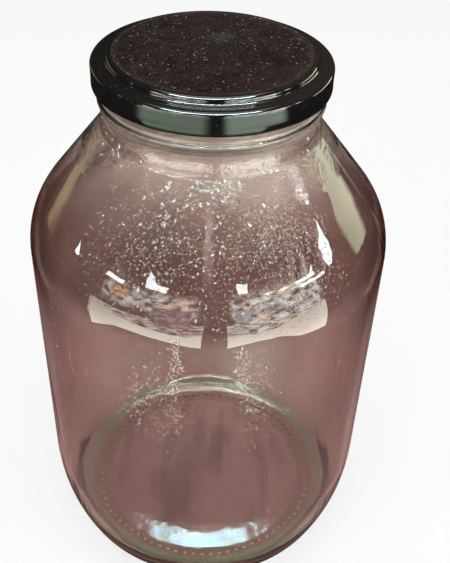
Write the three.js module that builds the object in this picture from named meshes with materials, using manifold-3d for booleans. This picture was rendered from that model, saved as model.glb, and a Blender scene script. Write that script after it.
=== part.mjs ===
// A wide-mouth glass storage jar with a black twist-off lid.
// Millimetres, +Z up, front towards -Y. The origin is the centre of the base,
// on the surface that the jar stands on.
import * as THREE from 'three';
import { mergeVertices } from 'three/addons/utils/BufferGeometryUtils.js';
import Module from 'manifold-3d';

const wasm = await Module();
wasm.setup();

// Jar body, from the foot up
const FOOT_WIDTH = 6.0;            // flat ring that the jar stands on
const PUSH_UP = 4.0;               // rise of the hollow under the base
const BASE_THICKNESS = 8.0;
const GLASS_WALL = 4.0;
const HEEL_RADIUS = 15.0;          // tight curve from the foot
const INNER_HEEL_RADIUS = 20.0;
const HEEL_SWEEP_RADIUS = 130.0;   // long curve of the lower wall
const HEEL_TOP = 57.6;             // height where the straight wall starts
const BODY_RADIUS = 93.6;
const BODY_TOP = 199.6;            // height where the straight wall ends
const SHOULDER_RADIUS = 44.4;
const SHOULDER_SLOPE_DEG = 38.2;   // the cone above the shoulder, from the vertical

// Neck, its bead and the ridges that hold the lid
const NECK_RADIUS = 53.2;
const NECK_HEIGHT = 28.8;          // from the corner with the cone to the rim
const NECK_FILLET = 7.0;
const RIM_ROUND = 1.4;
const BEAD_PROUD = 1.3;
const BEAD_HEIGHT = 2.6;
const BEAD_BELOW_LID = 7.0;
const RIDGE_PROUD = 1.4;
const RIDGE_HEIGHT = 2.2;
const RIDGE_CREST_HEIGHT = 1.2;
const RIDGE_FALL = 1.6;            // drop of a ridge along its length
const RIDGE_BELOW_RIM = 2.1;
const RIDGE_GAP_DEG = 28.0;        // open way between two ridges
const RIDGE_END_TAPER = 4.0;
const RIDGE_END_SHARE = 0.35;      // how far a ridge still stands out at its ends
const RIDGE_ROOT = 1.0;            // depth of a ridge inside the wall

// Lid shell, one drawn sheet
const LUG_COUNT = 5;
const FIRST_LUG_DEG = 32.2;        // from the front, towards +X
const LID_SHEET = 0.5;
const LID_BORDER = 9.4;            // from the outside to the edge of the raised panel
const PANEL_RISE = 3.4;
const PANEL_CREST_RADIUS = 2.2;
const PANEL_ROOT_RADIUS = 1.6;
const LID_SHOULDER_RADIUS = 2.0;
const CURL_WIDTH = 1.55;
const LUG_HEIGHT = 2.2;            // the curled lower edge, pressed in at each lug
const LUG_WIDTH = 14.0;
const LUG_FLANK = 3.7;             // length of the bend on each side of a lug
const LUG_BEND = 5.0;              // height of the skirt that bends in with a lug

// Sealing ring
const SEAL_THICKNESS = 1.6;
const SEAL_WIDTH = 5.6;
const SEAL_ROUND = 0.6;

// Clearances
const SEAT_GAP = 0.3;              // rim to seal, and seal to lid
const CURL_CLEARANCE = 0.45;       // curl to ridge crest
const LUG_CLEARANCE = 0.4;         // lug to neck, and lug to the lower end of a ridge

// Facets round the axis, a multiple of the lugs and of four where the outline needs it
const JAR_SEGMENTS = 60;
const LID_SEGMENTS = 80;
const RIDGE_STEPS = 8;

// Derived places
const slope = THREE.MathUtils.degToRad(SHOULDER_SLOPE_DEG);
const coneStart = new THREE.Vector2(
  BODY_RADIUS - SHOULDER_RADIUS * (1 - Math.cos(slope)),
  BODY_TOP + SHOULDER_RADIUS * Math.sin(slope),
);
const neckRoot = coneStart.y + (coneStart.x - NECK_RADIUS) / Math.tan(slope);
const rimTop = neckRoot + NECK_HEIGHT;
const mouthRadius = NECK_RADIUS - GLASS_WALL;
const ridgeTop = rimTop - RIDGE_BELOW_RIM;
const lugTop = ridgeTop - RIDGE_HEIGHT - RIDGE_FALL - LUG_CLEARANCE;
const lidBottom = lugTop - LUG_HEIGHT;
const sealBottom = rimTop + SEAT_GAP;
const lidRingTop = sealBottom + SEAL_THICKNESS + SEAT_GAP + LID_SHEET;
const panelTop = lidRingTop + PANEL_RISE;
const curlInner = NECK_RADIUS + RIDGE_PROUD + CURL_CLEARANCE;
const lidRadius = curlInner + CURL_WIDTH;
const lugDepth = curlInner - (NECK_RADIUS + LUG_CLEARANCE);
const lugPitch = (2 * Math.PI) / LUG_COUNT;
const firstLug = THREE.MathUtils.degToRad(FIRST_LUG_DEG);

// Points of an arc about (x, y), from one angle in degrees to another, both ends included.
function arc(x, y, radius, fromDeg, toDeg, steps) {
  const points = [];
  for (let i = 0; i <= steps; i += 1) {
    const angle = THREE.MathUtils.degToRad(fromDeg + ((toDeg - fromDeg) * i) / steps);
    points.push(new THREE.Vector2(x + radius * Math.cos(angle), y + radius * Math.sin(angle)));
  }
  return points;
}

function point(radius, height) {
  return new THREE.Vector2(radius, height);
}

// Points that divide a straight wall, without its two ends.
function between(from, to, steps) {
  const points = [];
  for (let i = 1; i < steps; i += 1) {
    points.push(from.clone().lerp(to, i / steps));
  }
  return points;
}

// Turns a profile of (radius, height) points about Z, with angle 0 at the front. The
// material lies on the left of the profile.
function turned(profile, segments) {
  const distinct = profile.filter((p, i) => i === 0 || p.distanceTo(profile[i - 1]) > 1e-6);
  const geometry = new THREE.LatheGeometry(distinct, segments);
  geometry.rotateX(Math.PI / 2);
  return geometry;
}

// A geometry with only merged positions, and no triangle that has lost its area.
function welded(geometry) {
  const bare = geometry.clone();
  bare.deleteAttribute('normal');
  bare.deleteAttribute('uv');
  const merged = mergeVertices(bare);
  const kept = [];
  const index = merged.index.array;
  for (let i = 0; i < index.length; i += 3) {
    const [a, b, c] = [index[i], index[i + 1], index[i + 2]];
    if (a !== b && b !== c && c !== a) {
      kept.push(a, b, c);
    }
  }
  merged.setIndex(kept);
  return merged;
}

function solid(geometry) {
  const clean = welded(geometry);
  return new wasm.Manifold(new wasm.Mesh({
    numProp: 3,
    vertProperties: new Float32Array(clean.attributes.position.array),
    triVerts: new Uint32Array(clean.index.array),
  }));
}

function geometryOf(manifold) {
  const mesh = manifold.getMesh();
  const geometry = new THREE.BufferGeometry();
  geometry.setAttribute('position', new THREE.BufferAttribute(mesh.vertProperties, 3));
  geometry.setIndex(new THREE.BufferAttribute(mesh.triVerts, 1));
  geometry.computeVertexNormals();
  return geometry;
}

function part(name, geometry, look) {
  const mesh = new THREE.Mesh(geometry, new THREE.MeshStandardMaterial(look));
  mesh.name = name;
  return mesh;
}

// Outside of the jar: hollow base, foot, heel, wall, shoulder, cone, neck and bead.
function outerGlass() {
  const heelSpan = HEEL_SWEEP_RADIUS - HEEL_RADIUS;
  const heelTurn = Math.asin((HEEL_TOP - HEEL_RADIUS) / heelSpan);
  const sweepX = BODY_RADIUS - HEEL_SWEEP_RADIUS;
  const footRadius = sweepX + heelSpan * Math.cos(heelTurn);
  const turnDeg = THREE.MathUtils.radToDeg(heelTurn);
  const hollow = footRadius - FOOT_WIDTH;
  const domeRadius = (hollow * hollow + PUSH_UP * PUSH_UP) / (2 * PUSH_UP);
  const domeDeg = THREE.MathUtils.radToDeg(Math.asin(hollow / domeRadius));
  const filletRun = NECK_FILLET * Math.tan(slope / 2);
  const bead = lidBottom - BEAD_BELOW_LID;
  const half = BEAD_HEIGHT / 2;
  return [
    ...arc(0, PUSH_UP - domeRadius, domeRadius, 90, 90 - domeDeg, 2),
    ...arc(footRadius, HEEL_RADIUS, HEEL_RADIUS, -90, -turnDeg, 4),
    ...arc(sweepX, HEEL_TOP, HEEL_SWEEP_RADIUS, -turnDeg, 0, 3),
    ...arc(BODY_RADIUS - SHOULDER_RADIUS, BODY_TOP, SHOULDER_RADIUS, 0, SHOULDER_SLOPE_DEG, 5),
    ...arc(NECK_RADIUS + NECK_FILLET, neckRoot + filletRun, NECK_FILLET,
      180 + SHOULDER_SLOPE_DEG, 180, 3),
    point(NECK_RADIUS, bead - half),
    point(NECK_RADIUS + BEAD_PROUD, bead - half / 2),
    point(NECK_RADIUS + BEAD_PROUD, bead + half / 2),
    point(NECK_RADIUS, bead + half),
    ...arc(NECK_RADIUS - RIM_ROUND, rimTop - RIM_ROUND, RIM_ROUND, 0, 90, 3),
  ];
}

// Inside of the jar, from the rim down to the middle of the base.
function innerGlass() {
  const sweepRadius = HEEL_SWEEP_RADIUS - GLASS_WALL;
  const heelSpan = sweepRadius - INNER_HEEL_RADIUS;
  const heelCentre = BASE_THICKNESS + INNER_HEEL_RADIUS;
  const heelTurn = Math.asin((HEEL_TOP - heelCentre) / heelSpan);
  const sweepX = BODY_RADIUS - HEEL_SWEEP_RADIUS;
  const floorRadius = sweepX + heelSpan * Math.cos(heelTurn);
  const turnDeg = THREE.MathUtils.radToDeg(heelTurn);
  const filletRun = NECK_FILLET * Math.tan(slope / 2);
  const domeRadius = (floorRadius * floorRadius + PUSH_UP * PUSH_UP) / (2 * PUSH_UP);
  const domeDeg = THREE.MathUtils.radToDeg(Math.asin(floorRadius / domeRadius));
  return [
    ...arc(mouthRadius + RIM_ROUND, rimTop - RIM_ROUND, RIM_ROUND, 90, 180, 3),
    ...arc(NECK_RADIUS + NECK_FILLET, neckRoot + filletRun, NECK_FILLET + GLASS_WALL,
      180, 180 + SHOULDER_SLOPE_DEG, 2),
    ...arc(BODY_RADIUS - SHOULDER_RADIUS, BODY_TOP, SHOULDER_RADIUS - GLASS_WALL,
      SHOULDER_SLOPE_DEG, 0, 4),
    ...arc(sweepX, HEEL_TOP, sweepRadius, 0, -turnDeg, 3),
    ...arc(floorRadius, heelCentre, INNER_HEEL_RADIUS, -turnDeg, -90, 4),
    ...arc(0, BASE_THICKNESS + PUSH_UP - domeRadius, domeRadius, 90 - domeDeg, 90, 2),
  ];
}

// One holding ridge: a blunt bar wrapped round the neck, falling as the lid turns tight.
function ridge(entryAngle) {
  const arcLength = (lugPitch - THREE.MathUtils.degToRad(RIDGE_GAP_DEG)) * NECK_RADIUS;
  const section = new THREE.Shape([
    point(-RIDGE_ROOT, 0),
    point(-RIDGE_ROOT, -RIDGE_HEIGHT),
    point(0, -RIDGE_HEIGHT),
    point(RIDGE_PROUD, -(RIDGE_HEIGHT + RIDGE_CREST_HEIGHT) / 2),
    point(RIDGE_PROUD, -(RIDGE_HEIGHT - RIDGE_CREST_HEIGHT) / 2),
    point(0, 0),
  ]);
  const geometry = new THREE.ExtrudeGeometry(section, {
    depth: arcLength,
    steps: RIDGE_STEPS,
    bevelEnabled: false,
  });
  const position = geometry.attributes.position;
  for (let i = 0; i < position.count; i += 1) {
    const along = position.getZ(i);
    const fromEnd = Math.min(along, arcLength - along);
    const fullness = Math.min(1, RIDGE_END_SHARE + fromEnd / RIDGE_END_TAPER);
    const proud = position.getX(i) > 0 ? position.getX(i) * fullness : position.getX(i);
    const angle = entryAngle - along / NECK_RADIUS;
    const radius = NECK_RADIUS + proud;
    const height = ridgeTop + position.getY(i) - (RIDGE_FALL * along) / arcLength;
    position.setXYZ(i, radius * Math.sin(angle), -radius * Math.cos(angle), height);
  }
  return geometry;
}

function glassJar() {
  let glass = solid(turned([...outerGlass(), ...innerGlass()], JAR_SEGMENTS));
  for (let i = 0; i < LUG_COUNT; i += 1) {
    const entry = firstLug + i * lugPitch - THREE.MathUtils.degToRad(RIDGE_GAP_DEG) / 2;
    glass = glass.add(solid(ridge(entry)));
  }
  return part('glass_jar', geometryOf(glass), {
    color: 0xcdb9b6,
    roughness: 0.05,
    metalness: 0,
    transparent: true,
    opacity: 0.4,
  });
}

// Section of the lid: raised panel, stepped border, skirt and curled lower edge.
function lidProfile() {
  const stepRadii = PANEL_CREST_RADIUS + PANEL_ROOT_RADIUS;
  const stepTurn = Math.acos(Math.max(0, 1 - PANEL_RISE / stepRadii));
  const stepDeg = THREE.MathUtils.radToDeg(stepTurn);
  const panelRadius = lidRadius - LID_BORDER;
  const rootRadius = panelRadius + stepRadii * Math.sin(stepTurn);
  const crestCentre = panelTop - PANEL_CREST_RADIUS;
  const rootCentre = lidRingTop + PANEL_ROOT_RADIUS;
  const shoulderX = lidRadius - LID_SHOULDER_RADIUS;
  const shoulderY = lidRingTop - LID_SHOULDER_RADIUS;
  const innerRadius = lidRadius - LID_SHEET;
  const curlRound = CURL_WIDTH / 2;
  const bendTop = lugTop + LUG_BEND;
  const outerSkirt = [point(lidRadius, bendTop), point(lidRadius, lidBottom + curlRound)];
  const innerSkirt = [point(innerRadius, lugTop), point(innerRadius, bendTop)];
  return [
    point(0, panelTop),
    ...arc(panelRadius, crestCentre, PANEL_CREST_RADIUS, 90, 90 - stepDeg, 3),
    ...arc(rootRadius, rootCentre, PANEL_ROOT_RADIUS, 270 - stepDeg, 270, 3),
    ...arc(shoulderX, shoulderY, LID_SHOULDER_RADIUS, 90, 0, 4),
    outerSkirt[0],
    ...between(outerSkirt[0], outerSkirt[1], 4),
    ...arc(lidRadius - curlRound, lidBottom + curlRound, curlRound, 0, -180, 4),
    point(curlInner, lugTop),
    innerSkirt[0],
    ...between(innerSkirt[0], innerSkirt[1], 3),
    innerSkirt[1],
    ...arc(shoulderX, shoulderY, LID_SHOULDER_RADIUS - LID_SHEET, 0, 90, 3),
    ...arc(rootRadius, rootCentre, PANEL_ROOT_RADIUS + LID_SHEET, 270, 270 - stepDeg, 2),
    ...arc(panelRadius, crestCentre, PANEL_CREST_RADIUS - LID_SHEET, 90 - stepDeg, 90, 2),
    point(0, panelTop - LID_SHEET),
  ].reverse();
}

// How far the skirt is pressed in at an angle and a height, from 0 to 1: full across each
// lug, easing out along its flanks and up the skirt.
function lugPress(angle, height) {
  const nearest = Math.round((angle - firstLug) / lugPitch) * lugPitch + firstLug;
  const aside = Math.abs(angle - nearest) * curlInner;
  const flankStart = (LUG_WIDTH - LUG_FLANK) / 2;
  const across = THREE.MathUtils.smoothstep(aside, flankStart, flankStart + 1.5 * LUG_FLANK);
  const up = THREE.MathUtils.smoothstep(height, lugTop - LUG_HEIGHT / 2, lugTop + LUG_BEND);
  return (1 - across) * (1 - up);
}

function lidShell() {
  const geometry = turned(lidProfile(), LID_SEGMENTS);
  const position = geometry.attributes.position;
  for (let i = 0; i < position.count; i += 1) {
    const x = position.getX(i);
    const y = position.getY(i);
    const radius = Math.hypot(x, y);
    if (radius > curlInner - lugDepth) {
      const press = lugPress(Math.atan2(x, -y), position.getZ(i));
      const share = (radius - lugDepth * press) / radius;
      position.setXY(i, x * share, y * share);
    }
  }
  return part('lid_shell', welded(geometry), {
    color: 0x120f10,
    roughness: 0.3,
    metalness: 0.2,
  });
}

// The soft ring inside the lid's border, centred on the rim that it seals.
function sealRing() {
  const middle = (NECK_RADIUS + mouthRadius) / 2;
  const outer = Math.min(middle + SEAL_WIDTH / 2, lidRadius - LID_SHOULDER_RADIUS);
  const inner = middle - SEAL_WIDTH / 2;
  const sealTop = sealBottom + SEAL_THICKNESS;
  const profile = [
    point(inner + SEAL_ROUND, sealBottom),
    point(outer - SEAL_ROUND, sealBottom),
    point(outer, sealBottom + SEAL_ROUND),
    point(outer, sealTop - SEAL_ROUND),
    point(outer - SEAL_ROUND, sealTop),
    point(inner + SEAL_ROUND, sealTop),
    point(inner, sealTop - SEAL_ROUND),
    point(inner, sealBottom + SEAL_ROUND),
    point(inner + SEAL_ROUND, sealBottom),
  ];
  return part('seal_ring', turned(profile, JAR_SEGMENTS), {
    color: 0xd8d2c4,
    roughness: 0.6,
    metalness: 0,
  });
}

const jar = new THREE.Group();
jar.add(glassJar());
const lid = new THREE.Group();
lid.add(lidShell());
lid.add(sealRing());
jar.add(lid);

export default jar;
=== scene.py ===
import math
from types import SimpleNamespace
import bpy
import numpy as np
from mathutils import Matrix, Vector


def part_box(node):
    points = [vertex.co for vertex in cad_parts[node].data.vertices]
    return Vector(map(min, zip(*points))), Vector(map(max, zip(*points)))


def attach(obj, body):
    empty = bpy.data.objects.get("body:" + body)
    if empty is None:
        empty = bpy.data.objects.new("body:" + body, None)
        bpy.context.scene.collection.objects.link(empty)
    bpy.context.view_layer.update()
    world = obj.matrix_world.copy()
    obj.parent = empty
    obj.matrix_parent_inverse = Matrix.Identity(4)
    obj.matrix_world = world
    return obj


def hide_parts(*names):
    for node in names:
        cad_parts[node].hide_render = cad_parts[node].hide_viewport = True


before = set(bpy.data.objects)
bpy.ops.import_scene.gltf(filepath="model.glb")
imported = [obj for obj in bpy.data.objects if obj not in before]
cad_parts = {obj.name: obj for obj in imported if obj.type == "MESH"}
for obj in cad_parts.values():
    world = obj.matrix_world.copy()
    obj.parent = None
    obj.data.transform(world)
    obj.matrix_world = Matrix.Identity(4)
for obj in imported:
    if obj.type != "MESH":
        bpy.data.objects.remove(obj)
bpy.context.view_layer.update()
mm = 0.001
fullTurn = 2 * math.pi
print("frame loaded:", len(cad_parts), "CAD nodes")


# A dictionary's entries as named values.
def named(entries):
    return SimpleNamespace(**entries)


# Arrays side by side; single numbers are repeated.
def columns(*parts):
    return np.stack(np.broadcast_arrays(*parts), axis=1)


# Points on a circle round the centre, from one angle to the other in degrees.
def arcPoints(centre, radius, start, end, steps):
    angle = np.radians(np.linspace(start, end, steps + 1))
    return columns(centre[0] + radius * np.cos(angle), centre[1] + radius * np.sin(angle))


# Evenly spaced points from one end of a straight run to the other.
def linePoints(start, end, steps):
    share = np.linspace(0, 1, steps + 1)[:, None]
    return np.asarray(start, float) * (1 - share) + np.asarray(end, float) * share


# One profile from runs that meet end to end, with each doubled point kept once.
def joined(*runs):
    points = np.concatenate(runs)
    gap = np.linalg.norm(np.diff(points, axis=0), axis=1)
    return points[np.append(True, gap > 1e-6)]


# Rises from 0 to 1 with level ends, as share goes from 0 to 1.
def eased(share):
    share = np.clip(share, 0, 1)
    return share * share * (3 - 2 * share)


# The signed way round from one turn angle to another, between minus and plus half a turn.
def turnBetween(turn, centre):
    return (turn - centre + math.pi) % fullTurn - math.pi


# Points at a distance from the axis, a turn from the front and a height.
def roundPoints(radius, turn, height):
    return np.stack([radius * np.sin(turn), -radius * np.cos(turn), height], axis=-1)


# The turn angles, and a profile's radius and height repeated for each of them.
def spun(profile, turns):
    turn = np.arange(turns) * fullTurn / turns
    radius, height = (np.repeat(part[:, None], turns, axis=1) for part in profile.T)
    return turn, radius, height


def linked(name, data):
    item = bpy.data.objects.new(name, data)
    bpy.context.collection.objects.link(item)
    return item


def meshObject(name, points, faces):
    mesh = bpy.data.meshes.new(name)
    mesh.from_pydata(points, [], faces)
    return linked(name, mesh)


# Smooth object of triangles, which are turned round if the solid is inside out.
def solidObject(name, points, triangles):
    corners = points[triangles]
    volume = np.einsum("ij,ij->i", corners[:, 0], np.cross(corners[:, 1], corners[:, 2])).sum()
    piece = meshObject(name, points, triangles if volume > 0 else triangles[:, ::-1])
    piece.data.polygons.foreach_set("use_smooth", np.ones(len(triangles), bool))
    piece.data.update()
    return piece


# A turned solid: a grid of radius and height, profile point by turn angle, in millimetres. An open
# profile starts and ends on the axis, where a fan of triangles closes it; a ring's profile closes on
# itself.
def turnedObject(name, radius, height, ring=False):
    rows, turns = radius.shape
    points = roundPoints(radius, np.arange(turns) * fullTurn / turns, height) * mm
    index = np.arange(rows * turns).reshape(rows, turns)
    body = index if ring else index[1:-1]
    upper = np.roll(body, -1, axis=0) if ring else body[1:]
    lower = body if ring else body[:-1]
    a, b = lower.ravel(), np.roll(lower, -1, axis=1).ravel()
    c, d = np.roll(upper, -1, axis=1).ravel(), upper.ravel()
    triangles = [columns(a, b, c), columns(a, c, d)]
    if not ring:
        first, last = body[0], body[-1]
        triangles.append(columns(index[0, 0], np.roll(first, -1), first))
        triangles.append(columns(index[-1, 0], last, np.roll(last, -1)))
    used, triangles = np.unique(np.concatenate(triangles), return_inverse=True)
    return solidObject(name, points.reshape(-1, 3)[used], triangles.reshape(-1, 3))


# A tree of shader nodes, with short ways to add to it.
class NodeNet:
    def __init__(self, tree):
        self.tree = tree

    # Adds a node, sets its options, and sets or links its inputs by name or number.
    def add(self, kind, inputs=None, **options):
        node = self.tree.nodes.new("ShaderNode" + kind)
        for option, value in options.items():
            setattr(node, option, value)
        for key, value in (inputs or {}).items():
            if isinstance(value, bpy.types.NodeSocket):
                self.tree.links.new(value, node.inputs[key])
            else:
                node.inputs[key].default_value = value
        return node

    def math(self, operation, first, second):
        return self.add("Math", {0: first, 1: second}, operation=operation).outputs[0]

    def times(self, first, second):
        return self.math("MULTIPLY", first, second)

    def mix(self, factor, first, second, blend="MIX"):
        inputs = {0: factor, 6: first, 7: second}
        return self.add("Mix", inputs, data_type="RGBA", blend_type=blend).outputs[2]

    def span(self, value, low, high, newLow=0.0, newHigh=1.0):
        inputs = {"Value": value, "From Min": low, "From Max": high, "To Min": newLow, "To Max": newHigh}
        return self.add("MapRange", inputs).outputs[0]

    def ramp(self, factor, stops):
        node = self.add("ValToRGB", {0: factor})
        elements = node.color_ramp.elements
        while len(elements) < len(stops):
            elements.new(1.0)
        for element, (position, colour) in zip(elements, stops):
            element.position = position
            element.color = (*colour, 1)
        return node.outputs[0]

    def parts(self, vector):
        return self.add("SeparateXYZ", {0: vector}).outputs

    def noise(self, scale, detail, rough, vector=None):
        inputs = {"Vector": vector or self.coords, "Scale": scale, "Detail": detail, "Roughness": rough}
        return self.add("TexNoise", inputs).outputs[0]

    def stretched(self, stretch, grain):
        vector = self.add("Mapping", {"Vector": self.coords, "Scale": stretch}).outputs[0]
        return self.noise(*grain, vector)

    def length(self, vector):
        return self.add("VectorMath", {0: vector}, operation="LENGTH").outputs["Value"]

    # Distance from the jar's axis.
    def reach(self):
        flat = self.add("VectorMath", {0: self.coords, 1: (1, 1, 0)}, operation="MULTIPLY")
        return self.length(flat.outputs[0])

    def bump(self, height, size):
        inputs = {"Height": height, "Strength": size[0], "Distance": size[1]}
        return self.add("Bump", inputs).outputs[0]

    def show(self, shader, kind="Surface"):
        self.tree.links.new(shader.outputs[0], self.output.inputs[kind])


# A net for a new material, with its output and the object's own coordinates.
def newMaterial(name):
    material = bpy.data.materials.new(name)
    material.use_nodes = True
    material.node_tree.nodes.clear()
    net = NodeNet(material.node_tree)
    net.material = material
    net.output = net.add("OutputMaterial")
    net.coords = net.add("TexCoord").outputs["Object"]
    return net


dustLook = dict(
    patch=(45.0, 4.0, 0.6),
    patchRange=(0.25, 0.75, 0.3, 1.7),
    film=(120.0, 8.0, 0.7),
    filmRange=(0.35, 0.8),
)


# Settled dust: round grains of mixed size from cell distances, thinned by a slow noise, and a thin film.
def makeDustGroup(look):
    group = bpy.data.node_groups.new("settledDust", "ShaderNodeTree")
    group.interface.new_socket("Vector", in_out="INPUT", socket_type="NodeSocketVector")
    for name in ("Scale", "Grain", "Cover"):
        group.interface.new_socket(name, in_out="INPUT", socket_type="NodeSocketFloat")
    for name in ("Mask", "Film"):
        group.interface.new_socket(name, in_out="OUTPUT", socket_type="NodeSocketFloat")
    entry = group.nodes.new("NodeGroupInput")
    leave = group.nodes.new("NodeGroupOutput")
    net = NodeNet(group)
    net.coords, scale, size, share = list(entry.outputs)[:4]
    cells = net.add("TexVoronoi", {"Vector": net.coords, "Scale": scale}).outputs
    chance = net.add("SeparateColor", {0: cells["Color"]}).outputs
    grain = net.math("LESS_THAN", cells["Distance"], net.times(chance[0], size))
    limit = net.times(share, net.span(net.noise(*look.patch), *look.patchRange))
    present = net.math("LESS_THAN", chance[1], limit)
    group.links.new(net.times(grain, present), leave.inputs["Mask"])
    film = net.span(net.noise(*look.film), *look.filmRange)
    group.links.new(film, leave.inputs["Film"])
    return group


dustGroup = makeDustGroup(named(dustLook))


def dust(net, scale, grain, share):
    inputs = {"Vector": net.coords, "Scale": scale, "Grain": grain, "Cover": share}
    return net.add("Group", inputs, node_tree=dustGroup).outputs


# The camera that took the photograph, fitted to the outlines of lid, neck, shoulder, wall and heel.
camera = dict(
    place=(0.0, -0.368318, 0.458859),
    pitch=0.673,  # radians below the level
    yaw=0.026,
    roll=0.038,
    focalPixels=841.374,
    imageHeight=563,
    sensorHeight=36.0,
    nearest=0.01,
)


# The view direction comes from yaw and pitch, and roll turns the side and up directions round it.
def makeCamera(spec):
    pitch, yaw, roll = spec.pitch, spec.yaw, spec.roll
    ahead = Vector((math.sin(yaw) * math.cos(pitch), math.cos(yaw) * math.cos(pitch), -math.sin(pitch)))
    level = Vector((math.cos(yaw), -math.sin(yaw), 0))
    upright = level.cross(ahead)
    side = math.cos(roll) * level + math.sin(roll) * upright
    up = math.cos(roll) * upright - math.sin(roll) * level
    data = bpy.data.cameras.new("camera")
    data.sensor_fit = "VERTICAL"
    data.sensor_height = spec.sensorHeight
    data.lens = spec.focalPixels * spec.sensorHeight / spec.imageHeight
    data.clip_start = spec.nearest
    rig = linked("camera", data)
    rig.matrix_world = Matrix.Translation(spec.place) @ Matrix((side, up, -ahead)).transposed().to_4x4()
    bpy.context.scene.camera = rig


makeCamera(named(camera))
print("camera placed")

jarHigh = np.array(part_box("glass_jar")[1]) / mm
lidLow, lidHigh = (np.array(corner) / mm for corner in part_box("lid_shell"))
sealLow, sealHigh = (np.array(corner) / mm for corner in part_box("seal_ring"))

# The jar's glass, in millimetres; its width and height come from the frame.
glassJar = dict(
    bodyRadius=jarHigh[0],
    rimTop=jarHigh[2],
    wall=4.0,
    footWidth=6.0,
    pushUp=1.5,
    baseThickness=10.6,
    rampStart=38.0,
    rampRise=4.0,
    rampPower=1.5,
    heelRadius=15.0,
    innerHeelRadius=20.0,
    sweepRadius=130.0,
    heelTop=57.6,
    bodyTop=199.6,
    shoulderRadius=44.4,
    shoulderSlope=38.2,
    neckRadius=53.2,
    neckFillet=7.0,
    rimRound=1.4,
    beadProud=1.3,
    beadHeight=2.6,
    beadBelowLid=7.0,
    ridgeProud=1.4,
    ridgeHeight=2.2,
    ridgeBelowRim=2.1,
    ridgeFall=1.6,
    ridgeGap=28.0,
    ridgeTaper=0.08,
    ridgeHalf=0.95,
    ridgeZone=6.2,
    lugCount=5,
    firstLug=32.2,
    stippleCount=80,
    stippleInset=0.2,
    stippleHeight=0.7,
    stippleSpread=1.25,
    stippleZone=2.6,
    seamProud=0.16,
    seamTurn=76.0,
    seamWidth=0.9,
    seamFoot=(12, 10),  # height where it starts, and over which it comes in
    seamTop=(275, 5),
    seamEdge=(0.6, 0.5),  # how far inside the widest radius it gets lower, and over which length
    seamWallShare=0.3,
    innerWave=0.22,
    innerSeed=11,
    innerFoot=(14, 20),
    innerRim=40,
    innerLowShare=0.12,
    innerLow=(70, 80),
    outerWave=0.035,
    outerSeed=5,
    outerFoot=(30, 30),
    outerTop=(240, 30),
    tolerance=0.01,
    turns=480,
)


waveCounts = (2, 3, 5, 7, 9, 14, 21)  # waves round the wall
waveRates = (0.01, 0.06)  # radians for each millimetre up the wall


# Slow waves left by the blowing: a sum of sines round and up the wall, with fixed random phases.
def glassWave(turn, height, seed):
    dice = np.random.default_rng(seed)
    total = 0.0
    for around in waveCounts:
        along = dice.uniform(*waveRates)
        phase = dice.uniform(0, fullTurn, 2)
        total = total + np.sin(around * turn + phase[0]) * np.sin(along * height + phase[1]) / around ** 0.5
    return total / 2


# Runs that both sides of the glass share, at a depth below the outer side: the long sweep over the heel,
# straight wall, shoulder arc, cone, and the fillet to the neck. Gives the middle and the end angle of the
# heel arc below them, too.
def wallRuns(jar, depth, heelRadius, heelZ, shoulderSteps, filletSteps):
    sweepX = jar.bodyRadius - jar.sweepRadius
    reach = jar.sweepRadius - depth - heelRadius
    drop = jar.heelTop - heelZ
    heelX = sweepX + math.sqrt(reach ** 2 - drop ** 2)
    heelTurn = -math.degrees(math.asin(drop / reach))
    slope = math.radians(jar.shoulderSlope)
    shoulderMiddle = (jar.bodyRadius - jar.shoulderRadius, jar.bodyTop)
    coneX = shoulderMiddle[0] + jar.shoulderRadius * math.cos(slope)
    coneZ = jar.bodyTop + jar.shoulderRadius * math.sin(slope)
    rootZ = coneZ + (coneX - jar.neckRadius) / math.tan(slope)
    filletMiddle = (jar.neckRadius + jar.neckFillet, rootZ + jar.neckFillet * math.tan(slope / 2))
    sweep = arcPoints((sweepX, jar.heelTop), jar.sweepRadius - depth, heelTurn, 0, 8)
    shoulder = arcPoints(shoulderMiddle, jar.shoulderRadius - depth, 0, jar.shoulderSlope, shoulderSteps)
    fillet = arcPoints(filletMiddle, jar.neckFillet + depth, 180 + jar.shoulderSlope, 180, filletSteps)
    straight = linePoints(sweep[-1], shoulder[0], 9)
    cone = linePoints(shoulder[-1], fillet[0], 5)
    return (heelX, heelZ), heelTurn, joined(sweep, straight, shoulder, cone, fillet)


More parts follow.
